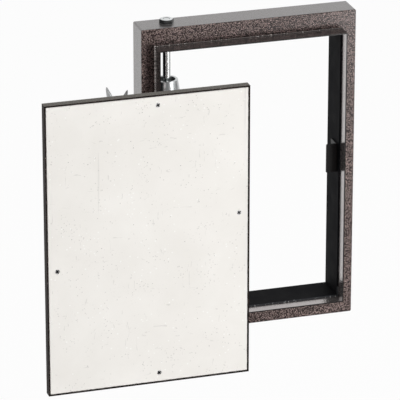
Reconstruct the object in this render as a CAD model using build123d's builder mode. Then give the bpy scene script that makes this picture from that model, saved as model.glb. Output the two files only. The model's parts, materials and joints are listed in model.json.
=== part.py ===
from build123d import *
import os
from math import atan2, cos, degrees, hypot, radians, sin, sqrt

# Steel access panel for a tiled wall: a folded frame that is built into the wall, and a tray
# door that carries a board for the tiles. The door hangs on a swing arm behind it, comes out
# forward and stands beside the opening.
# X runs right along the frame, Y runs back into the wall, Z runs up. The origin is the middle
# of the frame's underside.
# The pieces stand as in the open position.

os.makedirs("parts", exist_ok=True)

# Frame shell, folded from painted sheet
frame_width = 225.0
frame_height = 330.0
frame_depth = 29.0
shell_wall = 1.2
flange_side = 14.2
flange_end = 18.5
lip_reach = 15.5
shell_corner = 1.6
shell_bend = 0.9

# Black inner sleeve inside the lip
sleeve_wall = 1.5
sleeve_front = -2.0
sleeve_rear_reach = 5.0

# Keeper plate that the catch meets
keeper_height = 30.6
keeper_rise = 6.8
keeper_setback = 2.0
keeper_reach = 12.0
keeper_leg = 17.0
keeper_wall = 1.5
keeper_bend = 1.0
rivet_radius = 1.6
rivet_head_radius = 3.0
rivet_head_height = 1.0
rivet_spacing = 18.0

# Pivot bolts at the top and bottom of the frame
pivot_inset = 31.0
pivot_setback = 17.0
bolt_radius = 4.0
bolt_length = 84.0
head_flats = 13.0
hex_chamfer = 0.9
head_height = 4.0
nut_height = 6.5
pin_end = 2.0
running_gap = 0.05
washer_radius = 8.0
washer_height = 1.6

# Swing arm: a tube on the pivot bolts, two flat arms and two eyes
tube_length = 211.0
tube_radius = 10.6
tube_bore_radius = 8.8
mouth_radius = 11.3
collar_radius = 13.3
collar_taper = 12.0
bush_depth = 7.0
bush_height = 18.0
arm_wall = 5.0
arm_height = 25.0
eye_radius = 8.0
eye_gap = 0.2

# Door tray and board
door_width = 204.0
door_height = 300.0
tray_depth = 10.0
tray_wall = 1.3
tray_corner = 1.0
board_recess = 0.5
board_gap = 0.3
closed_gap = 0.5
open_shift_x = -147.9
open_shift_y = -119.1

# Screws through the board
screw_inset = 10.5
screw_head_radius = 2.9
screw_shank_radius = 1.45
screw_head_height = 2.2
screw_point = 2.0
screw_shift_u = 10.0
screw_shift_v = 20.0

# Brackets on the back of the tray, and the plates clamped to them
bracket_wall = 2.5
bracket_drop = 27.0
bracket_height = 30.0
bracket_margin = 20.0
bracket_reach = 52.0
plate_wall = 3.0
plate_half_width = 11.0
plate_slot = 10.0
pin_setback = 30.0
wing_from_pin = 66.8
wing_setback = 53.0
wing_turn = -39.0
stud_radius = 3.0
stud_head_flats = 10.0
stud_head_height = 3.0
stud_above_nut = 1.0
wing_washer_radius = 7.0
wing_washer_height = 1.2
wing_boss_radius = 5.4
wing_boss_height = 7.6
wing_height = 16.8
wing_span = 23.0
wing_thickness = 2.4
wing_tip = 1.4
wing_foot = 0.6

# Magnetic catch on the back of the tray
catch_width = 16.0
catch_height = 22.0
catch_edge = 7.5
catch_gap = 0.5
catch_ear = 9.0
catch_ear_width = 6.4
catch_ear_wall = 3.0
pole_wall = 2.0
pole_proud = 1.0
pole_spacing = 5.0
pole_height = 16.0
catch_screw_radius = 1.6
catch_screw_head_flats = 5.5
catch_screw_head_height = 1.4

# Worked out from the sizes above
middle = frame_height / 2
flange_y = -frame_depth / 2
lip_front = flange_y - lip_reach
hex_corner = 2 / sqrt(3)
lip_width = frame_width - 2 * flange_side
lip_height = frame_height - 2 * flange_end
sleeve_width = lip_width - 2 * shell_wall
sleeve_height = lip_height - 2 * shell_wall
sleeve_length = frame_depth + sleeve_rear_reach - sleeve_front
inner_x = sleeve_width / 2 - sleeve_wall
inner_top = middle + sleeve_height / 2 - sleeve_wall
pivot_x = -frame_width / 2 + pivot_inset
keeper_front = flange_y + keeper_setback
keeper_back = keeper_front + keeper_leg
rivet_place = (keeper_front + keeper_leg / 2, middle + keeper_rise)
pivot_y = flange_y + pivot_setback
tube_top = middle + tube_length / 2
arm_top = tube_top - collar_taper
door_closed_x = -door_width / 2
door_closed_y = lip_front - closed_gap - tray_depth
door_x = door_closed_x + open_shift_x
door_y = door_closed_y + open_shift_y
door_top = middle + door_height / 2
tray_back = door_y + tray_depth
bracket_top_z = door_top - bracket_drop
plate_top_z = bracket_top_z - bracket_wall
plate_bottom_z = plate_top_z - plate_wall

# The arm's outer pin is as far from the pivot bolts in the closed as in the open position
shift_square = open_shift_x ** 2 + open_shift_y ** 2
pin_back = door_closed_y + pin_setback - pivot_y
pin_side = -(shift_square / 2 + pin_back * open_shift_y) / open_shift_x
pin_across = pin_side + pivot_x - door_closed_x
pin_x = door_x + pin_across
pin_y = door_y + pin_setback
arm_length = hypot(pin_x - pivot_x, pin_y - pivot_y)
arm_angle = degrees(atan2(pin_y - pivot_y, pin_x - pivot_x))
closed_angle = degrees(atan2(pin_back, pin_side))
wing_x = pin_x - wing_from_pin
wing_y = door_y + wing_setback
print("pin", round(pin_x, 3), round(pin_y, 3), "across", round(pin_across, 2))
print("arm", round(arm_length, 3), "swing", round(closed_angle - arm_angle, 3))

mid_plane = Plane.XY.offset(middle)


def front_plane(y, x=0.0, z=middle):
    """A plane across the opening at depth y; its own y runs up and its normal forward."""
    return Plane(origin=(x, y, z), x_dir=(1, 0, 0), z_dir=(0, -1, 0))


def level_plane(x, y, z):
    """A level plane with its origin on an upright axis."""
    return Plane(origin=(x, y, z), x_dir=(1, 0, 0), z_dir=(0, 0, 1))


def hexagon_nut(x, y, z, height, bore):
    """A plain hexagon nut on the bolt, with its lower face at z."""
    with BuildPart() as nut:
        with BuildSketch(level_plane(x, y, z)):
            RegularPolygon(head_flats / 2, 6, major_radius=False)
            Circle(bore, mode=Mode.SUBTRACT)
        extrude(amount=height)
    return nut.part


def headed_bolt(x, y, seat, length):
    """A bolt with a plain hexagon head above the seat and its shank below it."""
    with BuildPart() as bolt:
        with BuildSketch(level_plane(x, y, seat)):
            RegularPolygon(head_flats / 2, 6, major_radius=False)
        extrude(amount=head_height)
        with BuildSketch(level_plane(x, y, seat)):
            Circle(bolt_radius)
        extrude(amount=-length)
    return bolt.part


# Frame shell
with BuildPart() as frame_shell:
    with BuildSketch(front_plane(flange_y)):
        Rectangle(frame_width, frame_height)
    extrude(amount=-frame_depth)
    fillet(frame_shell.edges().filter_by(Axis.Y), radius=shell_corner)
    fillet(frame_shell.faces().sort_by(Axis.Y)[0].edges(), radius=shell_bend)
    with BuildSketch(front_plane(flange_y + shell_wall)):
        Rectangle(frame_width - 2 * shell_wall, frame_height - 2 * shell_wall)
    extrude(amount=-frame_depth, mode=Mode.SUBTRACT)
    with BuildSketch(front_plane(lip_front)):
        Rectangle(lip_width, lip_height)
    extrude(amount=-lip_reach)
    with BuildSketch(front_plane(lip_front)):
        Rectangle(sleeve_width, sleeve_height)
    extrude(amount=-lip_reach - shell_wall, mode=Mode.SUBTRACT)
    with BuildSketch(level_plane(pivot_x, pivot_y, middle)):
        Circle(bolt_radius + running_gap)
    extrude(amount=frame_height, mode=Mode.SUBTRACT)
frame_shell.part.label = "frame_shell"
export_step(frame_shell.part, "parts/frame_shell.step")

# Inner sleeve
with BuildPart() as inner_sleeve:
    with BuildSketch(front_plane(flange_y + sleeve_front)):
        Rectangle(sleeve_width, sleeve_height)
        Rectangle(
            sleeve_width - 2 * sleeve_wall,
            sleeve_height - 2 * sleeve_wall,
            mode=Mode.SUBTRACT,
        )
    extrude(amount=-sleeve_length)
    with BuildSketch(level_plane(pivot_x, pivot_y, 0)):
        Circle(bolt_radius + running_gap)
    extrude(amount=frame_height, mode=Mode.SUBTRACT)
    with BuildSketch(Plane.YZ):
        with Locations(rivet_place):
            with GridLocations(0, rivet_spacing, 1, 2):
                Circle(rivet_radius)
    extrude(amount=sleeve_width, mode=Mode.SUBTRACT)
inner_sleeve.part.label = "inner_sleeve"
export_step(inner_sleeve.part, "parts/inner_sleeve.step")

# Keeper: an angle whose leg lies on the sleeve and whose tab stands into the opening
with BuildPart() as keeper:
    with BuildSketch(level_plane(0, 0, middle + keeper_rise - keeper_height / 2)):
        with BuildLine():
            Polyline(
                (inner_x, keeper_back),
                (inner_x, keeper_front),
                (inner_x - keeper_reach, keeper_front),
                (inner_x - keeper_reach, keeper_front + keeper_wall),
                (inner_x - keeper_wall, keeper_front + keeper_wall),
                (inner_x - keeper_wall, keeper_back),
                close=True,
            )
        make_face()
    extrude(amount=keeper_height)
    outer_bend = keeper.edges().filter_by(Axis.Z).filter_by_position(Axis.X, inner_x, inner_x)
    fillet(outer_bend.sort_by(Axis.Y)[0], radius=keeper_bend)
    with BuildSketch(Plane.YZ):
        with Locations(rivet_place):
            with GridLocations(0, rivet_spacing, 1, 2):
                Circle(rivet_radius)
    extrude(amount=sleeve_width, mode=Mode.SUBTRACT)
    tab_corners = keeper.edges().filter_by(Axis.Y).sort_by(Axis.X)[0:2]
    fillet(tab_corners, radius=keeper_bend)
keeper.part.label = "keeper"
export_step(keeper.part, "parts/keeper.step")

with BuildPart() as keeper_rivets:
    with BuildSketch(Plane.YZ.offset(inner_x - keeper_wall)):
        with Locations(rivet_place):
            with GridLocations(0, rivet_spacing, 1, 2):
                Circle(rivet_radius)
    extrude(amount=keeper_wall + sleeve_wall)
    with BuildSketch(Plane.YZ.offset(inner_x - keeper_wall)):
        with Locations(rivet_place):
            with GridLocations(0, rivet_spacing, 1, 2):
                Circle(rivet_head_radius)
    extrude(amount=-rivet_head_height)
keeper_rivets.part.label = "keeper_rivets"
export_step(keeper_rivets.part, "parts/keeper_rivets.step")

# Pivot bolts, each held by a nut inside the opening. The upper one goes through shell and
# sleeve. The lower one's head lies between them, so that the frame stands flat on its sill.
with BuildPart() as pivot_bolt_top:
    with BuildSketch(level_plane(pivot_x, pivot_y, frame_height)):
        Circle(head_flats / 2 * hex_corner)
    extrude(amount=head_height)
    chamfer(pivot_bolt_top.edges().sort_by(Axis.Z)[-1], length=hex_chamfer)
    with BuildSketch(level_plane(pivot_x, pivot_y, frame_height)):
        RegularPolygon(head_flats / 2, 6, major_radius=False)
    extrude(amount=head_height, mode=Mode.INTERSECT)
    with BuildSketch(level_plane(pivot_x, pivot_y, frame_height)):
        Circle(bolt_radius)
    extrude(amount=-bolt_length)
pivot_bolt_top.part.label = "pivot_bolt_top"
export_step(pivot_bolt_top.part, "parts/pivot_bolt_top.step")

sleeve_top = middle + sleeve_height / 2
lower_length = bolt_length - frame_height + sleeve_top
with BuildPart() as pivot_bolt_bottom:
    mirror(headed_bolt(pivot_x, pivot_y, sleeve_top, lower_length), about=mid_plane)
pivot_bolt_bottom.part.label = "pivot_bolt_bottom"
export_step(pivot_bolt_bottom.part, "parts/pivot_bolt_bottom.step")

with BuildPart() as lock_nut_top:
    add(hexagon_nut(pivot_x, pivot_y, inner_top - nut_height, nut_height, bolt_radius))
lock_nut_top.part.label = "lock_nut_top"
export_step(lock_nut_top.part, "parts/lock_nut_top.step")

with BuildPart() as lock_nut_bottom:
    mirror(lock_nut_top.part, about=mid_plane)
lock_nut_bottom.part.label = "lock_nut_bottom"
export_step(lock_nut_bottom.part, "parts/lock_nut_bottom.step")

# A nut and a washer on the lower bolt carry the tube
support_z = frame_height - tube_top - eye_gap - washer_height
with BuildPart() as thrust_washer:
    with BuildSketch(level_plane(pivot_x, pivot_y, support_z)):
        Circle(washer_radius)
        Circle(bolt_radius, mode=Mode.SUBTRACT)
    extrude(amount=washer_height)
thrust_washer.part.label = "thrust_washer"
export_step(thrust_washer.part, "parts/thrust_washer.step")

with BuildPart() as support_nut:
    add(hexagon_nut(pivot_x, pivot_y, support_z - nut_height, nut_height, bolt_radius))
support_nut.part.label = "support_nut"
export_step(support_nut.part, "parts/support_nut.step")

# Swing arm, one welded piece
with BuildPart() as swing_arm:
    with BuildSketch(Plane(origin=(pivot_x, pivot_y, 0), x_dir=(1, 0, 0), z_dir=(0, -1, 0))):
        with BuildLine():
            Polyline(
                (tube_bore_radius, middle),
                (tube_bore_radius, tube_top),
                (mouth_radius, tube_top),
                (collar_radius, arm_top),
                (tube_radius, arm_top),
                (tube_radius, middle),
                close=True,
            )
        make_face()
    revolve(axis=Axis((pivot_x, pivot_y, 0), (0, 0, 1)))
    with BuildSketch(level_plane(pin_x, pin_y, arm_top - arm_height)):
        Circle(eye_radius)
    extrude(amount=plate_bottom_z - eye_gap - arm_top + arm_height)
    arm_middle = ((pin_x + pivot_x) / 2, (pin_y + pivot_y) / 2, arm_top - arm_height)
    arm_plane = Plane(
        origin=arm_middle,
        x_dir=(cos(radians(arm_angle)), sin(radians(arm_angle)), 0),
        z_dir=(0, 0, 1),
    )
    with BuildSketch(arm_plane):
        Rectangle(arm_length - tube_bore_radius - bolt_radius, arm_wall)
    extrude(amount=arm_height)
    mirror(swing_arm.part, about=mid_plane)
    with BuildSketch(level_plane(pin_x, pin_y, 0)):
        Circle(bolt_radius + running_gap)
    extrude(amount=frame_height, mode=Mode.SUBTRACT)
    with BuildSketch(level_plane(pivot_x, pivot_y, 0)):
        Circle(tube_bore_radius)
    extrude(amount=frame_height, mode=Mode.SUBTRACT)
swing_arm.part.label = "swing_arm"
export_step(swing_arm.part, "parts/swing_arm.step")

with BuildPart() as bush_top:
    with BuildSketch(level_plane(pivot_x, pivot_y, tube_top - bush_depth)):
        Circle(tube_bore_radius)
        Circle(bolt_radius + running_gap, mode=Mode.SUBTRACT)
    extrude(amount=-bush_height)
bush_top.part.label = "bush_top"
export_step(bush_top.part, "parts/bush_top.step")

with BuildPart() as bush_bottom:
    with BuildSketch(level_plane(pivot_x, pivot_y, frame_height - tube_top)):
        Circle(tube_bore_radius)
        Circle(bolt_radius + running_gap, mode=Mode.SUBTRACT)
    extrude(amount=bush_height)
bush_bottom.part.label = "bush_bottom"
export_step(bush_bottom.part, "parts/bush_bottom.step")

# Where the board screws go: one near the middle of each edge
screw_places = [
    (screw_shift_u, door_height / 2 - screw_inset),
    (screw_shift_u, screw_inset - door_height / 2),
    (door_width / 2 - screw_inset, screw_shift_v),
    (screw_inset - door_width / 2, -screw_shift_v),
]
door_middle_x = door_x + door_width / 2
catch_x = door_x + door_width - catch_edge - catch_width / 2
catch_z = middle + keeper_rise
catch_length = keeper_front - catch_gap - door_closed_y - tray_depth
ear_offset = (catch_height + catch_ear) / 2

# Door tray: a folded sheet with its rim forward
with BuildPart() as door_tray:
    with BuildSketch(front_plane(door_y, door_middle_x)):
        Rectangle(door_width, door_height)
    extrude(amount=-tray_depth)
    fillet(door_tray.faces().sort_by(Axis.Y)[-1].edges(), radius=tray_corner)
    with BuildSketch(front_plane(door_y, door_middle_x)):
        Rectangle(door_width - 2 * tray_wall, door_height - 2 * tray_wall)
    extrude(amount=tray_wall - tray_depth, mode=Mode.SUBTRACT)
    with BuildSketch(front_plane(door_y, door_middle_x)):
        with Locations(*screw_places):
            Circle(screw_shank_radius)
    extrude(amount=-tray_depth, mode=Mode.SUBTRACT)
    with BuildSketch(front_plane(door_y, catch_x, catch_z)):
        with GridLocations(0, 2 * ear_offset, 1, 2):
            Circle(catch_screw_radius)
    extrude(amount=-tray_depth, mode=Mode.SUBTRACT)
door_tray.part.label = "door_tray"
export_step(door_tray.part, "parts/door_tray.step")

# Board that takes the tiles
board_front = door_y + board_recess
board_back = tray_back - tray_wall
with BuildPart() as door_board:
    with BuildSketch(front_plane(board_back, door_middle_x)):
        Rectangle(
            door_width - 2 * (tray_wall + board_gap),
            door_height - 2 * (tray_wall + board_gap),
        )
    extrude(amount=board_back - board_front)
    with BuildSketch(front_plane(board_front, door_middle_x)):
        with Locations(*screw_places):
            Circle(screw_shank_radius)
    extrude(amount=board_front - board_back, mode=Mode.SUBTRACT)
    with Locations(front_plane(board_front, door_middle_x)):
        with Locations(*screw_places):
            Cone(
                screw_shank_radius,
                screw_head_radius,
                screw_head_height,
                align=(Align.CENTER, Align.CENTER, Align.MAX),
                mode=Mode.SUBTRACT,
            )
door_board.part.label = "door_board"
export_step(door_board.part, "parts/door_board.step")

with BuildPart() as board_screws:
    with Locations(front_plane(board_front, door_middle_x)):
        with Locations(*screw_places):
            Cone(
                screw_shank_radius,
                screw_head_radius,
                screw_head_height,
                align=(Align.CENTER, Align.CENTER, Align.MAX),
            )
    with BuildSketch(front_plane(board_front + screw_head_height, door_middle_x)):
        with Locations(*screw_places):
            Circle(screw_shank_radius)
    extrude(amount=board_front + screw_head_height - tray_back - screw_point)
board_screws.part.label = "board_screws"
export_step(board_screws.part, "parts/board_screws.step")

# Bracket: an angle welded to the back of the tray
with BuildPart() as bracket_top:
    with BuildSketch(Plane.YZ.offset(wing_x - bracket_margin)):
        with BuildLine():
            Polyline(
                (tray_back, bracket_top_z),
                (tray_back, bracket_top_z - bracket_height),
                (tray_back + bracket_wall, bracket_top_z - bracket_height),
                (tray_back + bracket_wall, plate_top_z),
                (tray_back + bracket_reach, plate_top_z),
                (tray_back + bracket_reach, bracket_top_z),
                close=True,
            )
        make_face()
    extrude(amount=wing_from_pin + 2 * bracket_margin)
    free_corners = bracket_top.edges().filter_by(Axis.Z).sort_by(Axis.Y)[-2:]
    chamfer(free_corners, length=plate_half_width)
    with BuildSketch(level_plane(pin_x, pin_y, bracket_top_z)):
        Circle(bolt_radius)
    extrude(amount=-bracket_wall, mode=Mode.SUBTRACT)
    with BuildSketch(level_plane(wing_x, wing_y, bracket_top_z)):
        Circle(stud_radius)
    extrude(amount=-bracket_wall, mode=Mode.SUBTRACT)
bracket_top.part.label = "bracket_top"
export_step(bracket_top.part, "parts/bracket_top.step")

with BuildPart() as bracket_bottom:
    mirror(bracket_top.part, about=mid_plane)
bracket_bottom.part.label = "bracket_bottom"
export_step(bracket_bottom.part, "parts/bracket_bottom.step")

# Hinge plate: a flat link from the clamp stud to the arm's outer pin
plate_length = hypot(pin_x - wing_x, pin_y - wing_y)
plate_angle = degrees(atan2(pin_y - wing_y, pin_x - wing_x))
with BuildPart() as hinge_plate_top:
    with BuildSketch(
        Plane(
            origin=((pin_x + wing_x) / 2, (pin_y + wing_y) / 2, plate_bottom_z),
            x_dir=(cos(radians(plate_angle)), sin(radians(plate_angle)), 0),
            z_dir=(0, 0, 1),
        )
    ):
        plate = Rectangle(plate_length + 2 * plate_half_width, 2 * plate_half_width)
        chamfer(plate.vertices(), length=plate_half_width / 2)
        with Locations((plate_length / 2, 0)):
            Circle(bolt_radius, mode=Mode.SUBTRACT)
        with Locations((-plate_length / 2, 0)):
            SlotOverall(plate_slot, 2 * stud_radius, mode=Mode.SUBTRACT)
    extrude(amount=plate_wall)
hinge_plate_top.part.label = "hinge_plate_top"
export_step(hinge_plate_top.part, "parts/hinge_plate_top.step")

with BuildPart() as hinge_plate_bottom:
    mirror(hinge_plate_top.part, about=mid_plane)
hinge_plate_bottom.part.label = "hinge_plate_bottom"
export_step(hinge_plate_bottom.part, "parts/hinge_plate_bottom.step")

# Outer pins: bolts down through bracket, plate and eye, with a nut below the eye
pin_grip = bracket_top_z - arm_top + arm_height + eye_gap
with BuildPart() as hinge_pin_top:
    add(headed_bolt(pin_x, pin_y, bracket_top_z, pin_grip + nut_height + pin_end))
hinge_pin_top.part.label = "hinge_pin_top"
export_step(hinge_pin_top.part, "parts/hinge_pin_top.step")

with BuildPart() as hinge_pin_bottom:
    mirror(hinge_pin_top.part, about=mid_plane)
hinge_pin_bottom.part.label = "hinge_pin_bottom"
export_step(hinge_pin_bottom.part, "parts/hinge_pin_bottom.step")

with BuildPart() as hinge_nut_top:
    add(hexagon_nut(pin_x, pin_y, bracket_top_z - pin_grip - nut_height, nut_height, bolt_radius))
hinge_nut_top.part.label = "hinge_nut_top"
export_step(hinge_nut_top.part, "parts/hinge_nut_top.step")

with BuildPart() as hinge_nut_bottom:
    mirror(hinge_nut_top.part, about=mid_plane)
hinge_nut_bottom.part.label = "hinge_nut_bottom"
export_step(hinge_nut_bottom.part, "parts/hinge_nut_bottom.step")

# Clamp studs with a washer and a wing nut each
wing_seat = bracket_top_z + wing_washer_height
with BuildPart() as clamp_stud_top:
    with BuildSketch(level_plane(wing_x, wing_y, plate_bottom_z)):
        Circle(stud_radius)
    extrude(amount=wing_seat + wing_boss_height + stud_above_nut - plate_bottom_z)
    with BuildSketch(level_plane(wing_x, wing_y, plate_bottom_z)):
        RegularPolygon(stud_head_flats / 2, 6, major_radius=False)
    extrude(amount=-stud_head_height)
clamp_stud_top.part.label = "clamp_stud_top"
export_step(clamp_stud_top.part, "parts/clamp_stud_top.step")

with BuildPart() as clamp_stud_bottom:
    mirror(clamp_stud_top.part, about=mid_plane)
clamp_stud_bottom.part.label = "clamp_stud_bottom"
export_step(clamp_stud_bottom.part, "parts/clamp_stud_bottom.step")

with BuildPart() as wing_washer_top:
    with BuildSketch(level_plane(wing_x, wing_y, bracket_top_z)):
        Circle(wing_washer_radius)
        Circle(stud_radius, mode=Mode.SUBTRACT)
    extrude(amount=wing_washer_height)
wing_washer_top.part.label = "wing_washer_top"
export_step(wing_washer_top.part, "parts/wing_washer_top.step")

with BuildPart() as wing_washer_bottom:
    mirror(wing_washer_top.part, about=mid_plane)
wing_washer_bottom.part.label = "wing_washer_bottom"
export_step(wing_washer_bottom.part, "parts/wing_washer_bottom.step")

with BuildPart() as wing_nut_top:
    with BuildSketch(level_plane(wing_x, wing_y, wing_seat)):
        Circle(wing_boss_radius)
    extrude(amount=wing_boss_height)
    ear_plane = Plane(
        origin=(wing_x, wing_y, wing_seat),
        x_dir=(cos(radians(wing_turn)), sin(radians(wing_turn)), 0),
        z_dir=(sin(radians(wing_turn)), -cos(radians(wing_turn)), 0),
    )
    with BuildSketch(ear_plane):
        with BuildLine():
            Polyline(
                (0, wing_foot),
                (wing_boss_radius, wing_foot),
                (wing_span / 2 - wing_tip, wing_boss_height - wing_tip),
                (wing_span / 2, wing_height - wing_tip),
                (wing_span / 2 - wing_tip, wing_height),
                (wing_span / 2 - 2 * wing_tip, wing_height - wing_tip),
                (wing_boss_radius, wing_boss_height + wing_foot),
                (wing_boss_radius - wing_tip, wing_boss_height - wing_foot),
                (0, wing_boss_height - wing_foot),
                close=True,
            )
        make_face()
        mirror(about=Plane.YZ)
    extrude(amount=wing_thickness / 2, both=True)
    with BuildSketch(level_plane(wing_x, wing_y, wing_seat)):
        Circle(stud_radius)
    extrude(amount=wing_height, mode=Mode.SUBTRACT)
wing_nut_top.part.label = "wing_nut_top"
export_step(wing_nut_top.part, "parts/wing_nut_top.step")

with BuildPart() as wing_nut_bottom:
    mirror(wing_nut_top.part, about=mid_plane)
wing_nut_bottom.part.label = "wing_nut_bottom"
export_step(wing_nut_bottom.part, "parts/wing_nut_bottom.step")

# Magnetic catch: a case with two screw ears, two pole plates and two screws
with BuildPart() as catch_case:
    with BuildSketch(front_plane(tray_back, catch_x, catch_z)):
        Rectangle(catch_width, catch_height)
    extrude(amount=pole_proud - catch_length)
    with BuildSketch(front_plane(tray_back, catch_x, catch_z)):
        with GridLocations(0, 2 * ear_offset, 1, 2):
            Rectangle(catch_ear_width, catch_ear)
    extrude(amount=-catch_ear_wall)
    with BuildSketch(front_plane(tray_back, catch_x, catch_z)):
        with GridLocations(0, 2 * ear_offset, 1, 2):
            Circle(catch_screw_radius)
    extrude(amount=-catch_ear_wall, mode=Mode.SUBTRACT)
    with BuildSketch(front_plane(tray_back, catch_x, catch_z)):
        with GridLocations(pole_spacing, 0, 2, 1):
            Rectangle(pole_wall, pole_height)
    extrude(amount=-catch_length, mode=Mode.SUBTRACT)
catch_case.part.label = "catch_case"
export_step(catch_case.part, "parts/catch_case.step")

with BuildPart() as catch_poles:
    with BuildSketch(front_plane(tray_back, catch_x, catch_z)):
        with GridLocations(pole_spacing, 0, 2, 1):
            Rectangle(pole_wall, pole_height)
    extrude(amount=-catch_length)
catch_poles.part.label = "catch_poles"
export_step(catch_poles.part, "parts/catch_poles.step")

with BuildPart() as catch_screws:
    with BuildSketch(front_plane(tray_back + catch_ear_wall, catch_x, catch_z)):
        with GridLocations(0, 2 * ear_offset, 1, 2):
            Circle(catch_screw_radius)
    extrude(amount=catch_ear_wall + tray_wall)
    with BuildSketch(front_plane(tray_back + catch_ear_wall, catch_x, catch_z)):
        with GridLocations(0, 2 * ear_offset, 1, 2):
            RegularPolygon(catch_screw_head_flats / 2, 6, major_radius=False)
    extrude(amount=-catch_screw_head_height)
catch_screws.part.label = "catch_screws"
export_step(catch_screws.part, "parts/catch_screws.step")
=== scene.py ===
import json
import math

import bpy
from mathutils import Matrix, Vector, geometry, noise


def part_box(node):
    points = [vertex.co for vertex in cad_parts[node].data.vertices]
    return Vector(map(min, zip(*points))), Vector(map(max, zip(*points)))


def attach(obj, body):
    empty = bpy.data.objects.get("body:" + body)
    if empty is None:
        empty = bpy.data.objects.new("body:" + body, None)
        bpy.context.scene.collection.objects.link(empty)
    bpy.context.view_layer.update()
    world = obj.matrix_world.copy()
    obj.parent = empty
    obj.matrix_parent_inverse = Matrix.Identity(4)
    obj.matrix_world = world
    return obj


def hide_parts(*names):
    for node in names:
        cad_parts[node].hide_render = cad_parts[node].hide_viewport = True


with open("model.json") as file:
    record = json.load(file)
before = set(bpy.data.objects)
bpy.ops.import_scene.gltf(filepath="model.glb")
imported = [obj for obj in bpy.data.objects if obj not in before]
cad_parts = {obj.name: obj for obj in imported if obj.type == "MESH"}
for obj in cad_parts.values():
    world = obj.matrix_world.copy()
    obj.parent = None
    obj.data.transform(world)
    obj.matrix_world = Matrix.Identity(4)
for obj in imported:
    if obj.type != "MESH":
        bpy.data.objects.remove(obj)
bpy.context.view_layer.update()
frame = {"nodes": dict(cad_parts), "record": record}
nodes = frame["nodes"]
MM = 0.001
WHITE = (1.0, 1.0, 1.0, 1.0)

# The camera stands where the photograph's did: to the left of the frame and above it
CAMERA_AZIMUTH = 17.06
CAMERA_ELEVATION = 21.52
CAMERA_DISTANCE = 3.5987
CAMERA_LENS = 314.1
CAMERA_AIM = (-0.0336, 0.0448, 0.1186)
CAMERA_CLIP = (0.05, 60.0)
SENSOR_WIDTH = 36.0

# The world and the floor are white to the camera. In reflections they are darker in front of
# the panel, and each slope gives where that starts to rise and where it reaches white
WORLD_FILL = 0.55
WORLD_GLOSS = 0.25
WORLD_BACK_SLOPE = (0.20, 0.75)
FLOOR_GLOSS = 0.20
FLOOR_RIGHT_SLOPE = (0.15, 0.60)
FLOOR_LEFT_SLOPE = (-0.9, -1.5)
FLOOR_BACK_SLOPE = (-0.1, 0.3)
FLOOR_GLOW_SHARE = 0.94
FLOOR_TONE = (0.86, 0.86, 0.86, 1.0)
FLOOR_DROP = 0.30
FLOOR_SIZE = 12.0

# Name, place, aim, size and power of each lamp
LAMPS = (
    ("key", (0.85, -1.45, -0.02), (-0.02, -0.05, 0.17), 0.45, 7.4),
    ("top", (0.9, -2.2, 2.6), (-0.05, -0.05, 0.16), 1.8, 33.0),
    ("side", (-2.6, -0.6, 1.6), (-0.05, 0.0, 0.16), 1.6, 10.0),
)

# Where a finish changes on the panel, in metres. Y runs back, so what is less lies in front
MID_HEIGHT = 0.165
LIP_BACK_Y = -0.0147
LIP_EDGE_BACK_Y = -0.0297
LIP_EDGE_FRONT_Y = -0.0310
LIP_INSIDE_HALF_X = 0.0972
LIP_INSIDE_HALF_Z = 0.1454
LIP_LEFT_X = -0.0975
TRAY_BACK_Y = -0.1400
TRAY_EDGE_BACK_Y = -0.1590
SLEEVE_EDGE_Y = -0.0162
SLEEVE_SILL_Z = 0.030
BOLT_HEAD_Z = 0.3301

# Limits for a surface's direction: it faces front or back, looks up, or is quite level
FACING = 0.35
LOOKING_UP = 0.5
LEVEL = 0.96

PAINT_METAL = 0.80


def make_camera():
    data = bpy.data.cameras.new("camera")
    data.lens = CAMERA_LENS
    data.sensor_width = SENSOR_WIDTH
    data.clip_start, data.clip_end = CAMERA_CLIP
    camera = bpy.data.objects.new("camera", data)
    turn = math.radians(CAMERA_AZIMUTH)
    lift = math.radians(CAMERA_ELEVATION)
    forward = Vector(
        (math.sin(turn) * math.cos(lift), math.cos(turn) * math.cos(lift), -math.sin(lift))
    )
    camera.location = Vector(CAMERA_AIM) - forward * CAMERA_DISTANCE
    camera.rotation_euler = (math.radians(90.0) - lift, 0.0, -turn)
    bpy.context.scene.collection.objects.link(camera)
    bpy.context.scene.camera = camera


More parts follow.
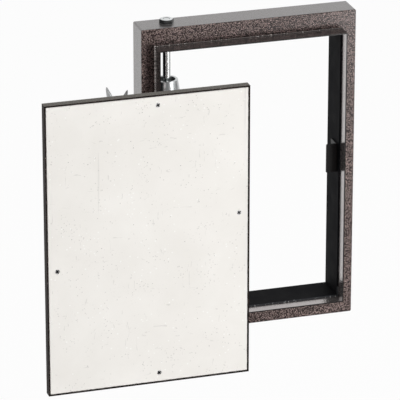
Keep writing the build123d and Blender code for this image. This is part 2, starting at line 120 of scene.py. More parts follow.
class Nodes:
    """A node tree, with short calls for the nodes in it."""

    def __init__(self, tree):
        self.tree = tree

    def node(self, kind, **settings):
        made = self.tree.nodes.new(kind)
        for key, value in settings.items():
            setattr(made, key, value)
        return made

    def link(self, source, target):
        self.tree.links.new(source, target)

    def part(self, vector, name):
        """The X, Y or Z of a vector."""
        made = self.node("ShaderNodeSeparateXYZ")
        self.link(vector, made.inputs[0])
        return made.outputs[name]

    def math(self, operation, first, second=0.0):
        made = self.node("ShaderNodeMath", operation=operation)
        for index, value in enumerate((first, second)):
            if isinstance(value, (int, float)):
                made.inputs[index].default_value = value
            else:
                self.link(value, made.inputs[index])
        return made.outputs[0]

    def above(self, source, limit):
        return self.math("GREATER_THAN", source, limit)

    def below(self, source, limit):
        return self.math("LESS_THAN", source, limit)

    def plus(self, first, second):
        return self.math("ADD", first, second)

    def minus(self, first, second):
        return self.math("SUBTRACT", first, second)

    def times(self, first, second):
        return self.math("MULTIPLY", first, second)

    def most(self, first, second):
        return self.math("MAXIMUM", first, second)

    def slope(self, source, ends, low=0.0):
        """A smooth change from low to one, between two values of the source."""
        made = self.node("ShaderNodeMapRange", interpolation_type="SMOOTHSTEP")
        self.link(source, made.inputs["Value"])
        made.inputs["From Min"].default_value, made.inputs["From Max"].default_value = ends
        made.inputs["To Min"].default_value = low
        return made.outputs[0]

    def ray(self, kind):
        """One for rays of this kind, and zero for others."""
        return self.node("ShaderNodeLightPath").outputs[f"Is {kind} Ray"]

    def seen(self):
        """One where the camera, a reflection or a see-through ray looks, and zero elsewhere."""
        direct = self.most(self.ray("Camera"), self.ray("Glossy"))
        return self.most(direct, self.ray("Transmission"))

    def colour_shader(self, kind, colour, strength=None):
        made = self.node(kind)
        made.inputs["Color"].default_value = colour
        if isinstance(strength, float):
            made.inputs["Strength"].default_value = strength
        elif strength is not None:
            self.link(strength, made.inputs["Strength"])
        return made.outputs[0]

    def finish_with(self, kind, share, first, second):
        """Mixes two shaders into an output node of this kind."""
        mix = self.node("ShaderNodeMixShader")
        for index, source in enumerate((share, first, second)):
            self.link(source, mix.inputs[index])
        self.link(mix.outputs[0], self.node(kind).inputs["Surface"])


def make_world():
    world = bpy.data.worlds.new("studio")
    bpy.context.scene.world = world
    world.use_nodes = True
    world.node_tree.nodes.clear()
    w = Nodes(world.node_tree)
    direction = w.node("ShaderNodeTexCoord").outputs["Generated"]
    behind = w.slope(w.part(direction, "Y"), WORLD_BACK_SLOPE, WORLD_GLOSS)
    bright = w.colour_shader("ShaderNodeBackground", WHITE, w.most(behind, w.ray("Camera")))
    fill = w.colour_shader("ShaderNodeBackground", WHITE, WORLD_FILL)
    w.finish_with("ShaderNodeOutputWorld", w.seen(), fill, bright)


def make_floor():
    """A pale floor some way below the panel, which is held by the wall and stands on nothing."""
    half = FLOOR_SIZE / 2
    mesh = bpy.data.meshes.new("floor")
    mesh.from_pydata(
        [(-half, -half, 0), (half, -half, 0), (half, half, 0), (-half, half, 0)],
        [],
        [(0, 1, 2, 3)],
    )
    floor = bpy.data.objects.new("floor", mesh)
    floor.location = (0, 0, -FLOOR_DROP)
    bpy.context.scene.collection.objects.link(floor)
    material = bpy.data.materials.new("floor_white")
    material.use_nodes = True
    material.node_tree.nodes.clear()
    f = Nodes(material.node_tree)
    place = f.node("ShaderNodeTexCoord").outputs["Object"]
    right = f.slope(f.part(place, "X"), FLOOR_RIGHT_SLOPE, FLOOR_GLOSS)
    left = f.slope(f.part(place, "X"), FLOOR_LEFT_SLOPE)
    behind = f.slope(f.part(place, "Y"), FLOOR_BACK_SLOPE)
    level = f.most(f.most(f.most(right, left), behind), f.ray("Camera"))
    matt = f.colour_shader("ShaderNodeBsdfDiffuse", FLOOR_TONE)
    glow = f.colour_shader("ShaderNodeEmission", WHITE, level)
    f.finish_with("ShaderNodeOutputMaterial", f.times(f.seen(), FLOOR_GLOW_SHARE), matt, glow)
    mesh.materials.append(material)


def add_lamp(name, place, aim, size, power):
    data = bpy.data.lights.new(name, "AREA")
    data.shape = "SQUARE"
    data.size = size
    data.energy = power
    lamp = bpy.data.objects.new(name, data)
    lamp.location = place
    direction = Vector(aim) - Vector(place)
    lamp.rotation_euler = direction.to_track_quat("-Z", "Y").to_euler()
    bpy.context.scene.collection.objects.link(lamp)


# Materials. Noise scales are per metre and bump heights are in metres

class Shader(Nodes):
    """A material with one principled shader. Its textures lie in the piece's own frame."""

    def __init__(self, name, **sockets):
        self.material = bpy.data.materials.new(name)
        self.material.use_nodes = True
        super().__init__(self.material.node_tree)
        self.bsdf = self.tree.nodes["Principled BSDF"]
        for socket, value in sockets.items():
            self.bsdf.inputs[socket.replace("_", " ")].default_value = value
        self.where = self.node("ShaderNodeTexCoord").outputs["Object"]

    def feed(self, socket, source):
        self.link(source, self.bsdf.inputs[socket])

    def noise(self, scale, detail=2.0, roughness=0.5, distortion=0.0, where=None):
        made = self.node("ShaderNodeTexNoise")
        self.link(where or self.where, made.inputs["Vector"])
        made.inputs["Scale"].default_value = scale
        made.inputs["Detail"].default_value = detail
        made.inputs["Roughness"].default_value = roughness
        made.inputs["Distortion"].default_value = distortion
        return made.outputs["Fac"]

    def cells(self, scale):
        made = self.node("ShaderNodeTexVoronoi")
        self.link(self.where, made.inputs["Vector"])
        made.inputs["Scale"].default_value = scale
        return made.outputs["Distance"]

    def stretch(self, *factors):
        made = self.node("ShaderNodeMapping")
        self.link(self.where, made.inputs["Vector"])
        made.inputs["Scale"].default_value = factors
        return made.outputs["Vector"]

    def axis(self, name):
        return self.part(self.where, name)

    def turned(self, name):
        """One part of the surface's direction in the piece's own frame."""
        return self.part(self.node("ShaderNodeTexCoord").outputs["Normal"], name)

    def ramp(self, source, *stops):
        made = self.node("ShaderNodeValToRGB")
        self.link(source, made.inputs["Fac"])
        elements = made.color_ramp.elements
        while len(elements) < len(stops):
            elements.new(0.5)
        for element, (place, colour) in zip(elements, stops):
            element.position = place
            element.color = (*colour, 1.0)
        return made.outputs["Color"]

    def mix(self, share, first, second):
        """From the first colour to the second, each a colour or what a node gives."""
        made = self.node("ShaderNodeMix", data_type="RGBA")
        for name, value in (("Factor", share), ("A", first), ("B", second)):
            target = next(s for s in made.inputs if s.name == name and s.enabled)
            if isinstance(value, tuple):
                target.default_value = (*value, 1.0)
            else:
                self.link(value, target)
        return next(s for s in made.outputs if s.enabled)

    def bump(self, height, distance, strength=1.0):
        made = self.node("ShaderNodeBump")
        made.inputs["Distance"].default_value = distance
        made.inputs["Strength"].default_value = strength
        self.link(height, made.inputs["Height"])
        return made.outputs["Normal"]


def grey(value):
    return (value, value, value)


def hammered_paint(name="hammered_paint", coat=0.50, specular=0.5, wall_metal=PAINT_METAL):
    """Brown hammered enamel: pebbled in front with partly painted glints, smoother on the walls,
    with painted light and shade on some walls and painted shade on the front edges.
    """
    s = Shader(
        name,
        Metallic=PAINT_METAL,
        Coat_Weight=coat,
        Coat_Roughness=0.20,
        Specular_IOR_Level=specular,
    )
    pebbles = s.cells(820.0)
    facing = s.math("ABSOLUTE", s.turned("Y"))
    on_face = s.above(facing, FACING)
    on_wall = s.below(facing, FACING)
    depth = s.axis("Y")
    on_tray = s.below(depth, TRAY_BACK_Y)
    on_lip = s.minus(s.below(depth, LIP_BACK_Y), on_tray)

    # The pale pinkish middles of the cells are partly the enamel's own mottle and partly painted
    # glints
    pebbled = s.ramp(
        pebbles,
        (0.12, (0.460, 0.345, 0.325)),
        (0.36, (0.185, 0.131, 0.119)),
        (0.62, (0.026, 0.017, 0.016)),
    )
    frame_wall = s.ramp(pebbles, (0.12, (0.215, 0.203, 0.200)), (0.62, (0.145, 0.134, 0.131)))
    # The tray's upper wall is painted paler as painted light from above, and its other walls are
    # painted dark as painted shade
    lit_upper_wall = s.ramp(pebbles, (0.12, (0.230, 0.218, 0.195)), (0.62, (0.120, 0.110, 0.098)))
    tray_wall_light_and_shade = s.mix(s.below(s.turned("Z"), LOOKING_UP), lit_upper_wall, (0.022, 0.016, 0.014))
    wall = s.mix(on_tray, frame_wall, tray_wall_light_and_shade)
    # The lip's inner sides are painted paler than its outer ones, as a painted reflection of the
    # bright backdrop seen through the opening
    across = s.below(s.math("ABSOLUTE", s.axis("X")), LIP_INSIDE_HALF_X)
    off_middle = s.math("ABSOLUTE", s.minus(s.axis("Z"), MID_HEIGHT))
    lip_inside_reflection = s.times(s.times(across, s.below(off_middle, LIP_INSIDE_HALF_Z)), on_lip)
    wall = s.mix(lip_inside_reflection, wall, (0.340, 0.308, 0.302))
    tone = s.mix(on_face, wall, pebbled)
    # The front edges of the lip and of the tray are painted near black as painted shade; on the
    # tray it lies in ragged patches along the gap behind the board's edge
    lip_edge_shade = s.times(s.below(depth, LIP_EDGE_BACK_Y), s.above(depth, LIP_EDGE_FRONT_Y))
    ragged = s.times(s.above(s.noise(900.0), 0.36), 0.90)
    edges = s.most(lip_edge_shade, s.times(s.below(depth, TRAY_EDGE_BACK_Y), ragged))
    s.feed("Base Color", s.mix(edges, tone, (0.012, 0.009, 0.008)))

    if wall_metal < PAINT_METAL:
        s.feed("Metallic", s.plus(s.times(on_face, PAINT_METAL - wall_metal), wall_metal))
    rough = s.ramp(pebbles, (0.2, grey(0.26)), (0.6, grey(0.38)))
    rough = s.mix(s.times(on_tray, on_wall), rough, grey(0.65))
    s.feed("Roughness", s.mix(s.times(on_lip, on_wall), rough, grey(0.13)))
    relief = s.minus(s.times(s.noise(260.0, 1.0), 0.2), pebbles)
    s.feed("Normal", s.bump(s.times(s.plus(s.times(on_face, 0.70), 0.30), relief), 0.00040))
    return s.material


def pooled_paint():
    """Enamel pooled in the root of the lip: glossy, with pale specks that are painted highlights,
    fewer on the left.
    """
    s = Shader("pooled_paint", Metallic=0.85, Coat_Weight=0.6, Coat_Roughness=0.12)
    specks = s.noise(850.0, 2.0, 0.6)
    # Pale specks painted as highlights, so that the fillet shows as a light line
    many = s.ramp(specks, (0.40, (0.060, 0.048, 0.045)), (0.60, (0.620, 0.570, 0.550)))
    few = s.ramp(specks, (0.60, (0.045, 0.034, 0.031)), (0.74, (0.480, 0.440, 0.420)))
    s.feed("Base Color", s.mix(s.below(s.axis("X"), LIP_LEFT_X), few, many))
    s.feed("Roughness", s.ramp(specks, (0.3, grey(0.18)), (0.7, grey(0.30))))
    s.feed("Normal", s.bump(specks, 0.00012, 0.8))
    return s.material


def black_paint():
    """Matt black. The sleeve's lower front edge has a few bright spots painted on as highlights."""
    s = Shader("black_paint", Metallic=0.0, Specular_IOR_Level=0.05)
    dust = s.noise(60.0, 4.0, 0.6)
    black = s.ramp(dust, (0.3, (0.004, 0.004, 0.005)), (0.8, (0.009, 0.009, 0.011)))
    spots = s.noise(420.0, 2.0, 0.6)
    edge_highlights = s.ramp(spots, (0.60, (0.050, 0.052, 0.056)), (0.72, grey(0.600)))
    edge = s.times(s.below(s.axis("Y"), SLEEVE_EDGE_Y), s.below(s.axis("Z"), SLEEVE_SILL_Z))
    s.feed("Base Color", s.mix(edge, black, edge_highlights))
    s.feed("Roughness", s.ramp(dust, (0.3, grey(0.62)), (0.7, grey(0.78))))
    s.feed("Normal", s.bump(s.noise(2600.0), 0.00004, 0.6))
    return s.material


def zinc_plate(name, shade, gloss, painted_flank_shade=False):
    """Bright zinc on steel: faint cloudy patches and fine marks from handling."""
    s = Shader(name, Metallic=1.0)
    cloud = s.noise(90.0, 5.0, 0.6, 0.4)
    marks = s.noise(900.0, 2.0, 0.5, 0.0, s.stretch(1.0, 1.0, 0.12))
    dull = tuple(v * shade for v in (0.60, 0.625, 0.635))
    bright = tuple(v * shade for v in (0.78, 0.795, 0.79))
    tone = s.ramp(cloud, (0.3, dull), (0.7, bright))
    if painted_flank_shade:
        # The flanks of the pivot bolt's head are painted darker than its top, as a painted dark
        # reflection
        flank_shade = s.times(s.above(s.axis("Z"), BOLT_HEAD_Z), s.below(s.turned("Z"), LEVEL))
        tone = s.mix(s.times(flank_shade, 0.86), tone, (0.020, 0.020, 0.021))
    s.feed("Base Color", tone)
    s.feed("Roughness", s.ramp(cloud, (0.3, grey(gloss[0])), (0.75, grey(gloss[1]))))
    s.feed("Normal", s.bump(marks, 0.00003, 0.5))
    return s.material


def plain_steel(name, tone):
    s = Shader(name, Metallic=1.0)
    cloud = s.noise(700.0, 4.0, 0.6)
    s.feed("Base Color", s.ramp(cloud, (0.3, grey(tone * 0.7)), (0.7, grey(tone))))
    s.feed("Roughness", s.ramp(cloud, (0.3, grey(0.28)), (0.7, grey(0.45))))
    s.feed("Normal", s.bump(cloud, 0.00003, 0.5))
    return s.material


def fibre_board():
    """Off-white gypsum fibre board: grey specks in loose clusters, fibres, flecks, scratches."""
    s = Shader("fibre_board", Roughness=0.86, Specular_IOR_Level=0.3)
    cloud = s.noise(16.0, 4.0, 0.55, 0.3)
    base = s.ramp(cloud, (0.32, (0.815, 0.790, 0.750)), (0.68, (0.865, 0.842, 0.805)))
    clusters = s.above(s.noise(38.0, 3.0, 0.7), 0.545)
    specks = s.times(s.below(s.cells(340.0), 0.19), clusters)
    lone_specks = s.below(s.cells(105.0), 0.055)
    upright = s.above(s.noise(260.0, 2.0, 0.6, 1.5, s.stretch(1.0, 1.0, 0.22)), 0.700)
    level = s.above(s.noise(300.0, 2.0, 0.6, 1.5, s.stretch(0.22, 1.0, 1.0)), 0.710)
    scratches = s.above(s.noise(150.0, 1.0, 0.5, 0.0, s.stretch(1.0, 1.0, 0.02)), 0.735)
    marks = s.most(s.times(specks, 0.34), s.times(lone_specks, 0.55))
    fibres = s.times(s.most(upright, level), 0.20)
    marks = s.most(marks, s.most(fibres, s.times(scratches, 0.12)))
    flecks = s.times(s.below(s.cells(190.0), 0.15), s.above(s.noise(30.0), 0.53))
    pale = s.mix(s.times(flecks, 0.8), base, (0.94, 0.93, 0.90))
    s.feed("Base Color", s.mix(marks, pale, (0.26, 0.25, 0.23)))
    s.feed("Normal", s.bump(s.noise(1500.0, 3.0, 0.6), 0.00008, 0.6))
    return s.material


def moulded_plastic(name, tone, roughness, specular=0.4):
    s = Shader(name, Specular_IOR_Level=specular)
    cloud = s.noise(120.0, 3.0)
    lighter = tuple(v * 1.4 for v in tone)
    s.feed("Base Color", s.ramp(cloud, (0.3, tone), (0.7, lighter)))
    s.feed("Roughness", s.ramp(cloud, (0.3, grey(roughness)), (0.7, grey(roughness + 0.12))))
    s.feed("Normal", s.bump(s.noise(3200.0), 0.00004, 0.7))
    return s.material


def dress_nodes():
    """Makes the materials, and gives each CAD node the one of its slot or one of its own."""
    made = {
        "hammer_paint": hammered_paint(),
        "tray_paint": hammered_paint("tray_paint", 0.0, 0.15, 0.05),
        "pooled_paint": pooled_paint(),
        "black_paint": black_paint(),
        "zinc_plate": zinc_plate("zinc_plate", 0.84, (0.26, 0.42)),
        "bolt_zinc": zinc_plate("bolt_zinc", 0.92, (0.14, 0.26), painted_flank_shade=True),
        "screw_steel": plain_steel("screw_steel", 0.80),
        "recess": plain_steel("recess_shade_steel", 0.05),
        "keeper_paint": moulded_plastic("keeper_paint", (0.007, 0.006, 0.006), 0.30, 0.12),
        "fibre_board": fibre_board(),
        "bush_plastic": moulded_plastic("bush_plastic", (0.020, 0.020, 0.022), 0.45),
        "catch_plastic": moulded_plastic("catch_plastic", (0.018, 0.018, 0.018), 0.5),
        "pole_steel": plain_steel("pole_steel", 0.70),
        "weld": plain_steel("weld_steel", 0.42),
    }
    own = {"keeper": "keeper_paint", "keeper_rivets": "keeper_paint", "door_tray": "tray_paint"}
    for part in frame["record"]["subparts"]:
        mesh = nodes[part["node"]].data
        mesh.materials.clear()
        mesh.materials.append(made[own.get(part["node"], part["material_slot"])])
    return made


# Shapes. Lengths are in mm, and a ring is a list of points with the same number in each

HEAD_STEPS = 72
ROUND_STEPS = 48
WELD_STEPS = 12
SHARP_ANGLE = 22.0
PANEL_HEIGHT = 330.0

# Bolts and nuts. Past HEX_PROUD of the half width, a hexagon's ends slope to its corners
M8 = {"flats": 13.0, "head": 4.0, "radius": 4.0, "pitch": 1.25}
M6 = {"flats": 10.0, "head": 3.0, "radius": 3.0, "pitch": 1.0}
M8_BORE = 3.95
HEX_PROUD = 0.97
CHAMFER_SLOPE = 0.45
DISH_RIM = 0.55
DISH_FLOOR = 0.48
DISH_DEPTH = 0.25
THREAD_DEPTH = 0.4
BORE_CHAMFER = 0.5

# The board's screws: their places from its middle, and their form
SCREW_SPOTS = ((10.0, 139.5), (10.0, -139.5), (91.5, 20.0), (-91.5, -20.0))
SCREW_SUNK = 0.3
SCREW_HEAD = 2.9
SCREW_FACE = 0.97
SCREW_SEAT = 2.2
SCREW_SHANK = 1.45
SCREW_PITCH = 1.1
SCREW_END = 11.5
CROSS_HALF = 0.58
CROSS_ARM = 2.0
CROSS_DEPTH = 1.5
CROSS_TAPER = 0.42
CROSS_TURN = 35.0
RECESS_REACH = 2.2
RECESS_FLOOR = 1.7

# The board's crumbled edges, and the radius and depth of the steps in a screw hole
EDGE_STEP = 0.75
EDGE_DEPTH = 0.7
CORNER_CHIP = 0.45
HOLE_STEPS = ((3.0, 0.35), (1.5, 2.6))
HOLE_END = 0.05

# Wing nuts: an ear's outline and the boss's section, as distance from the axis and height
WING_TURN = -39.0
WING_EAR = (
    (4.6, 0.8), (6.0, 0.7), (7.8, 1.9), (9.1, 4.0), (10.1, 6.4), (10.8, 9.4),
    (11.1, 12.2), (11.3, 14.6), (11.2, 16.1), (10.9, 16.8), (10.4, 16.5), (9.6, 15.3),
    (8.6, 13.8), (7.6, 12.1), (6.6, 10.5), (5.7, 9.0), (4.9, 7.9), (3.9, 7.1),
)
WING_LAYERS = ((-1.2, 0.45), (-0.8, 0.0), (0.8, 0.0), (1.2, 0.45))
WING_BOSS = (
    (3.4, 0.0), (5.1, 0.0), (5.4, 0.3), (5.0, 5.6), (4.7, 7.3),
    (4.4, 7.6), (3.5, 7.6), (3.0, 7.1), (3.0, 0.5),
)

# The lip's outer sides and the flange that it stands on
LIP_HALF_X = 98.3
LIP_LOW_Z = 18.5
LIP_HIGH_Z = 311.5
FLANGE_Y = -14.5
FILLET = 1.1
FILLET_STEPS = 6
FILLET_BURIED = 0.3


def add_piece(name, points, faces, material, body, *replaced, smooth=False):
    mesh = bpy.data.meshes.new(name)
    mesh.from_pydata([tuple(v * MM for v in point) for point in points], [], faces)
    mesh.materials.append(material)
    if smooth:
        mesh.shade_smooth()
        mesh.set_sharp_from_angle(angle=math.radians(SHARP_ANGLE))
    piece = bpy.data.objects.new(name, mesh)
    bpy.context.scene.collection.objects.link(piece)
    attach(piece, body)
    if replaced:
        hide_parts(*replaced)
    return piece


def box_mm(node):
    low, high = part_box(node)
    return low / MM, high / MM


def middle_of(node):
    low, high = box_mm(node)
    return (low + high) / 2


def upright_axis(low, high):
    return ((low.x + high.x) / 2, (low.y + high.y) / 2)


def turns(count, way=1):
    """Angles at even steps, once round."""
    return [way * 2 * math.pi * i / count for i in range(count)]


def neighbours(count):
    """Each index with the next one, once round."""
    return [(i, (i + 1) % count) for i in range(count)]


def spoke(turn, reach, centre=(0.0, 0.0)):
    """The point at some reach from a centre."""
    return (centre[0] + reach * math.cos(turn), centre[1] + reach * math.sin(turn))


def circle(radius, z, centre, steps=HEAD_STEPS):
    return [(*spoke(turn, radius, centre), z) for turn in turns(steps)]


def hexagon(flats, level, centre):
    """A ring on a hexagon's sides; level gives the height for a distance from the axis."""
    ring = []
    for turn in turns(HEAD_STEPS):
        reach = flats / 2 / math.cos(turn % (math.pi / 3) - math.pi / 6)
        ring.append((*spoke(turn, reach, centre), level(reach)))
    return ring


def join_rings(rings, closed=False, capped=True):
    """A skin over rings. A closed one runs from the last ring back to the first."""
    points = [point for ring in rings for point in ring]
    count = len(rings[0])
    faces = []
    for k in range(len(rings) if closed else len(rings) - 1):
        low, high = k * count, (k + 1) % len(rings) * count
        for i, j in neighbours(count):
            faces.append((low + i, low + j, high + j, high + i))
    if capped and not closed:
        faces.append(tuple(reversed(range(count))))
        faces.append(tuple(range((len(rings) - 1) * count, len(rings) * count)))
    return points, faces


def flat_faces(*loops):
    """Triangles within the first loop and outside the others."""
    flat = [[Vector((*point, 0.0)) for point in loop] for loop in loops]
    return [tuple(face) for face in geometry.tessellate_polygon(flat)]


def merge(*shapes):
    points, faces = [], []
    for more_points, more_faces in shapes:
        start = len(points)
        points += more_points
        faces += [tuple(start + i for i in face) for face in more_faces]
    return points, faces


def reverse(faces):
    return [tuple(reversed(face)) for face in faces]


def flip(shape, low, high):
    """The same shape upside down, between the same two levels."""
    points, faces = shape
    middle = (low + high) / 2
    return [(x, y, 2 * middle - z) for x, y, z in points], reverse(faces)


def chamfer(flats, reach):
    """How far a hexagon's end has sloped away at a distance from the axis."""
    return max(0.0, reach - flats / 2 * HEX_PROUD) * CHAMFER_SLOPE


def bolt(centre, end, thread, top, flats, head, radius, pitch):
    """A hexagon bolt that hangs from its head, with rings for the thread at its lower end."""
    seat = top - head
    proud = flats / 2 * HEX_PROUD
    upper = join_rings([
        hexagon(flats, lambda reach: seat, centre),
        hexagon(flats, lambda reach: seat + head - chamfer(flats, reach), centre),
        circle(proud, seat + head, centre),
        circle(proud * DISH_RIM, seat + head, centre),
        circle(proud * DISH_FLOOR, seat + head - DISH_DEPTH, centre),
    ])
    root = radius - pitch * THREAD_DEPTH
    z = end + thread
    shank = [circle(radius, seat, centre, ROUND_STEPS), circle(radius, z, centre, ROUND_STEPS)]
    while z - pitch > end + pitch:
        shank.append(circle(root, z - pitch / 2, centre, ROUND_STEPS))
        shank.append(circle(radius, z - pitch, centre, ROUND_STEPS))
        z -= pitch
    shank.append(circle(root, end, centre, ROUND_STEPS))
    points, faces = join_rings(shank)
    return merge(upper, (points, reverse(faces)))


def nut(centre, low, high, flats, bore):
    proud = flats / 2 * HEX_PROUD
    rings = [
        circle(bore + BORE_CHAMFER, low, centre),
        circle(proud, low, centre),
        hexagon(flats, lambda reach: low + chamfer(flats, reach), centre),
        hexagon(flats, lambda reach: high - chamfer(flats, reach), centre),
        circle(proud, high, centre),
        circle(bore + BORE_CHAMFER, high, centre),
        circle(bore, high - BORE_CHAMFER, centre),
        circle(bore, low + BORE_CHAMFER, centre),
    ]
    return join_rings(rings, closed=True)


def add_bolt(node, body, size, thread, head_below, material):
    low, high = box_mm(node)
    shape = bolt(upright_axis(low, high), low.z, thread, high.z, **size)
    if head_below:
        shape = flip(shape, low.z, high.z)
    add_piece(node + "_fine", *shape, material, body, node, smooth=True)


def fasteners(made):
    """Bolts, nuts and studs with chamfered heads and threads, in the places of the plain solids."""
    zinc = made["bolt_zinc"]
    add_bolt("pivot_bolt_top", "frame", M8, 24.0, False, zinc)
    add_bolt("pivot_bolt_bottom", "frame", M8, 40.0, True, zinc)
    add_bolt("hinge_pin_top", "door", M8, 12.0, False, zinc)
    add_bolt("hinge_pin_bottom", "door", M8, 12.0, True, zinc)
    for node, body in (
        ("lock_nut_top", "frame"),
        ("lock_nut_bottom", "frame"),
        ("support_nut", "frame"),
        ("hinge_nut_top", "door"),
        ("hinge_nut_bottom", "door"),
    ):
        low, high = box_mm(node)
        shape = nut(upright_axis(low, high), low.z, high.z, M8["flats"], M8_BORE)
        add_piece(node + "_fine", *shape, zinc, body, node, smooth=True)
    # The heads of the two studs point to each other, and the wing nuts are on their outer ends
    add_bolt("clamp_stud_top", "door", M6, 11.0, True, zinc)
    add_bolt("clamp_stud_bottom", "door", M6, 11.0, False, zinc)


def cross_screw(centre, front):
    """A small countersunk screw seen from in front, with a cross recess; its axis runs back."""
    tilt = math.radians(CROSS_TURN)

    def spin(x, z):
        return (x * math.cos(tilt) - z * math.sin(tilt), x * math.sin(tilt) + z * math.cos(tilt))

    def place(x, z, y):
        return (centre[0] + x, front + y, centre[1] + z)

    def ring(radius, y):
        return [place(*spoke(turn, radius), y) for turn in turns(ROUND_STEPS)]

    half, arm = CROSS_HALF, CROSS_ARM
    cross = (
        (arm, half), (half, half), (half, arm), (-half, arm), (-half, half), (-arm, half),
        (-arm, -half), (-half, -half), (-half, -arm), (half, -arm), (half, -half), (arm, -half),
    )
    rim = [spoke(turn, SCREW_HEAD * SCREW_FACE) for turn in turns(ROUND_STEPS)]
    mouth = [spin(x, z) for x, z in cross]
    floor = [spin(x * CROSS_TAPER, z * CROSS_TAPER) for x, z in cross]
    points = [place(x, z, 0.0) for x, z in rim + mouth]
    points += [place(x, z, CROSS_DEPTH) for x, z in floor]
    faces = flat_faces(rim, mouth)
    at_mouth = len(rim)
    at_floor = at_mouth + len(mouth)
    for i, j in neighbours(len(cross)):
        faces.append((at_mouth + i, at_floor + i, at_floor + j, at_mouth + j))
    faces.append(tuple(at_floor + i for i in range(len(cross))))

    side = [
        ring(SCREW_HEAD * SCREW_FACE, 0.0),
        ring(SCREW_HEAD, 0.12),
        ring(SCREW_SHANK, SCREW_SEAT),
    ]
    y = SCREW_SEAT
    while y + SCREW_PITCH < SCREW_END:
        side += [ring(SCREW_SHANK * 0.8, y + 0.35), ring(SCREW_SHANK, y + 0.75)]
        y += SCREW_PITCH
    side.append(ring(0.25, SCREW_END))
    return merge((points, faces), join_rings(side, capped=False))


def board_screws(made, front, centres):
    """The screws as one piece, with a second material in their recesses, near black as painted
    shade.
    """
    points, faces = merge(*[cross_screw(centre, front + SCREW_SUNK) for centre in centres])
    steel = made["screw_steel"]
    piece = add_piece(
        "board_screws_cross", points, faces, steel, "door", "board_screws", smooth=True
    )
    # The recesses are painted near black as painted shade
    piece.data.materials.append(made["recess"])
    for face in piece.data.polygons:
        corners = [points[i] for i in face.vertices]
        reach = max(min(math.dist(centre, (x, z)) for centre in centres) for x, y, z in corners)
        deepest = max(y for x, y, z in corners)
        face.material_index = int(deepest > front + RECESS_FLOOR and reach < RECESS_REACH)


def crumbled_outline(low, high):
    """The board's outline in small steps, and the same steps drawn in by uneven chips."""
    corners = [(low.x, low.z), (high.x, low.z), (high.x, high.z), (low.x, high.z)]
    inner_sides = ((1, 1), (-1, 1), (-1, -1), (1, -1))
    edge, inward = [], []
    for (k, j), (side_x, side_z) in zip(neighbours(len(corners)), inner_sides):
        (x0, z0), (x1, z1) = corners[k], corners[j]
        length = math.hypot(x1 - x0, z1 - z0)
        along = ((x1 - x0) / length, (z1 - z0) / length)
        count = round(length / EDGE_STEP)
        for i in range(count):
            x, z = x0 + along[0] * length * i / count, z0 + along[1] * length * i / count
            edge.append((x, z))
            if i == 0:
                inward.append((x + side_x * CORNER_CHIP, z + side_z * CORNER_CHIP))
                continue
            place = Vector((x, 0.0, z))
            chips = max(0.0, noise.noise(place * 0.35) - 0.12) * 2.2
            ragged = 0.22 + 0.16 * noise.noise(place * 1.7) + 0.45 * chips
            inward.append((x - along[1] * ragged, z + along[0] * ragged))
    return edge, inward


def crumbled_board(made, low, high, centres):
    """The board with slightly crumbled edges and four stepped screw holes."""
    edge, inward = crumbled_outline(low, high)
    rims = []
    for k, centre in enumerate(centres):
        rim = []
        for turn in turns(ROUND_STEPS, -1):
            uneven = noise.noise(Vector((*spoke(turn, 1.6), k * 5.0)))
            rim.append(spoke(turn, 2.25 + 0.45 * uneven, centre))
        rims.append(rim)
    points = [(x, low.y, z) for loop in (inward, *rims) for x, z in loop]
    faces = flat_faces(inward, *rims)

    count = len(edge)
    front = len(points)
    back = front + count
    points += [(x, low.y + EDGE_DEPTH, z) for x, z in edge]
    points += [(x, high.y, z) for x, z in edge]
    for i, j in neighbours(count):
        faces.append((i, front + i, front + j, j))
        faces.append((front + i, back + i, back + j, front + j))
    faces.append(tuple(back + i for i in range(count)))

    bottom = (HOLE_STEPS[-1][0], high.y - low.y - HOLE_END)
    for k, centre in enumerate(centres):
        starts = [count + ROUND_STEPS * k]
        for radius, y in (*HOLE_STEPS, bottom):
            starts.append(len(points))
            for turn in turns(ROUND_STEPS, -1):
                x, z = spoke(turn, radius, centre)
                points.append((x, low.y + y, z))
        for i, j in neighbours(ROUND_STEPS):
            for outer, inner in zip(starts, starts[1:]):
                faces.append((outer + i, outer + j, inner + j, inner + i))
    add_piece("board_crumbled", points, faces, made["fibre_board"], "door", "door_board")


def board_and_screws(made):
    low, high = box_mm("door_board")
    middle = ((low.x + high.x) / 2, (low.z + high.z) / 2)
    centres = [(middle[0] + u, middle[1] + v) for u, v in SCREW_SPOTS]
    board_screws(made, low.y, centres)
    crumbled_board(made, low, high, centres)


def wing_ear(centre, seat, side):
    """One rounded ear: thinner towards its tip, and drawn in a little on its two faces."""
    turn = math.radians(WING_TURN)
    along = (side * math.cos(turn), side * math.sin(turn))
    across = (-along[1], along[0])
    middle_u = sum(u for u, v in WING_EAR) / len(WING_EAR)
    middle_v = sum(v for u, v in WING_EAR) / len(WING_EAR)
    layers = []
    for offset, shrink in WING_LAYERS:
        layer = []
        for u, v in WING_EAR:
            reach = math.hypot(u - middle_u, v - middle_v)
            out = u - (u - middle_u) / reach * shrink
            up = v - (v - middle_v) / reach * shrink
            thin = offset * (1.0 - 0.25 * max(0.0, v - 8.0) / 9.0)
            x = centre[0] + along[0] * out + across[0] * thin
            y = centre[1] + along[1] * out + across[1] * thin
            layer.append((x, y, seat + up))
        layers.append(layer)
    return join_rings(layers)


def wing_nuts(made):
    """Wing nuts with a tapered boss and two rounded ears."""
    for node in ("wing_nut_top", "wing_nut_bottom"):
        low, high = box_mm(node)
        centre = upright_axis(low, high)
        rings = [circle(r, low.z + z, centre, ROUND_STEPS) for r, z in WING_BOSS]
        ears = [wing_ear(centre, low.z, side) for side in (1, -1)]
        shape = merge(join_rings(rings, closed=True), *ears)
        if node.endswith("bottom"):
            shape = flip(shape, low.z, high.z)
        add_piece(node + "_round", *shape, made["zinc_plate"], "door", node, smooth=True)


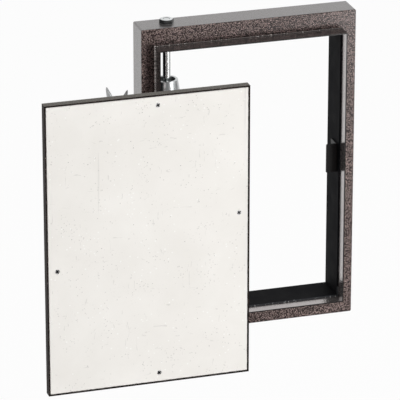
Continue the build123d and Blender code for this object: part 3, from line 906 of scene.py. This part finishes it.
def lip_fillet(made):
    """The paint's round run where the lip leaves the flange, on all four sides of the lip."""

    def loop(out, y):
        """A rectangle at a distance outside the lip."""
        return [
            (-LIP_HALF_X - out, y, LIP_LOW_Z - out),
            (LIP_HALF_X + out, y, LIP_LOW_Z - out),
            (LIP_HALF_X + out, y, LIP_HIGH_Z + out),
            (-LIP_HALF_X - out, y, LIP_HIGH_Z + out),
        ]

    rings = []
    for k in range(FILLET_STEPS + 1):
        angle = math.pi / 2 * k / FILLET_STEPS
        forward = FILLET * (1 - math.cos(angle))
        rings.append(loop(FILLET * (1 - math.sin(angle)), FLANGE_Y - forward))
    rings.append(loop(-FILLET_BURIED, FLANGE_Y + FILLET_BURIED))
    points, faces = join_rings(rings, closed=True)
    add_piece("lip_fillet", points, faces, made["pooled_paint"], "frame")


def weld_bead(start, end, radius, seed):
    """A short row of overlapping weld scales from start to end, thinner at both ends."""
    start, end = Vector(start), Vector(end)
    axis = (end - start).normalized()
    side = axis.orthogonal().normalized()
    other = axis.cross(side)
    length = (end - start).length
    count = max(8, int(length / 0.35))
    rings = []
    for i in range(count + 1):
        t = i / count
        scale = abs(math.sin(math.pi * (t * length / 2.2 + seed)))
        fade = min(1.0, 0.25 + 4.0 * min(t, 1 - t) * length / (radius * 6))
        swell = radius * (0.78 + 0.22 * scale) * fade
        swell *= 1.0 + 0.10 * noise.noise(Vector((t * length * 0.9, seed, 0.0)))
        centre = start + axis * length * t
        ring = []
        for turn in turns(WELD_STEPS):
            ring.append(tuple(centre + (side * math.cos(turn) + other * math.sin(turn)) * swell))
        rings.append(ring)
    return join_rings(rings)


def welds(made):
    """Beads where the arms meet the tube and the eyes, and where the brackets meet the tray."""
    pivot = middle_of("pivot_bolt_top")
    pin = middle_of("hinge_pin_top")
    along = Vector((pin.x - pivot.x, pin.y - pivot.y))
    length = along.length
    along.normalize()
    across = Vector((-along.y, along.x))
    beads = []
    for low_z, high_z in ((234.3, 257.4), (72.6, 95.7)):
        for distance in (10.2, length - 7.7):
            for side in (-2.6, 2.6):
                x = pivot.x + along.x * distance + across.x * side
                y = pivot.y + along.y * distance + across.y * side
                beads.append(weld_bead((x, y, low_z), (x, y, high_z), 1.3, distance + side))
    add_piece("arm_welds", *merge(*beads), made["weld"], "arm", smooth=True)
    low, high = box_mm("bracket_top")
    y = low.y + 0.5
    beads = []
    for z in (low.z, PANEL_HEIGHT - low.z):
        for share in (0.08, 0.45, 0.82):
            x = low.x + (high.x - low.x) * share
            beads.append(weld_bead((x, y, z), (x + 13.0, y, z), 1.2, share * 7))
    add_piece("bracket_welds", *merge(*beads), made["weld"], "door", smooth=True)


make_camera()
make_world()
make_floor()
for lamp in LAMPS:
    add_lamp(*lamp)
materials = dress_nodes()
fasteners(materials)
board_and_screws(materials)
wing_nuts(materials)
lip_fillet(materials)
welds(materials)
bpy.context.scene.view_settings.view_transform = "Standard"
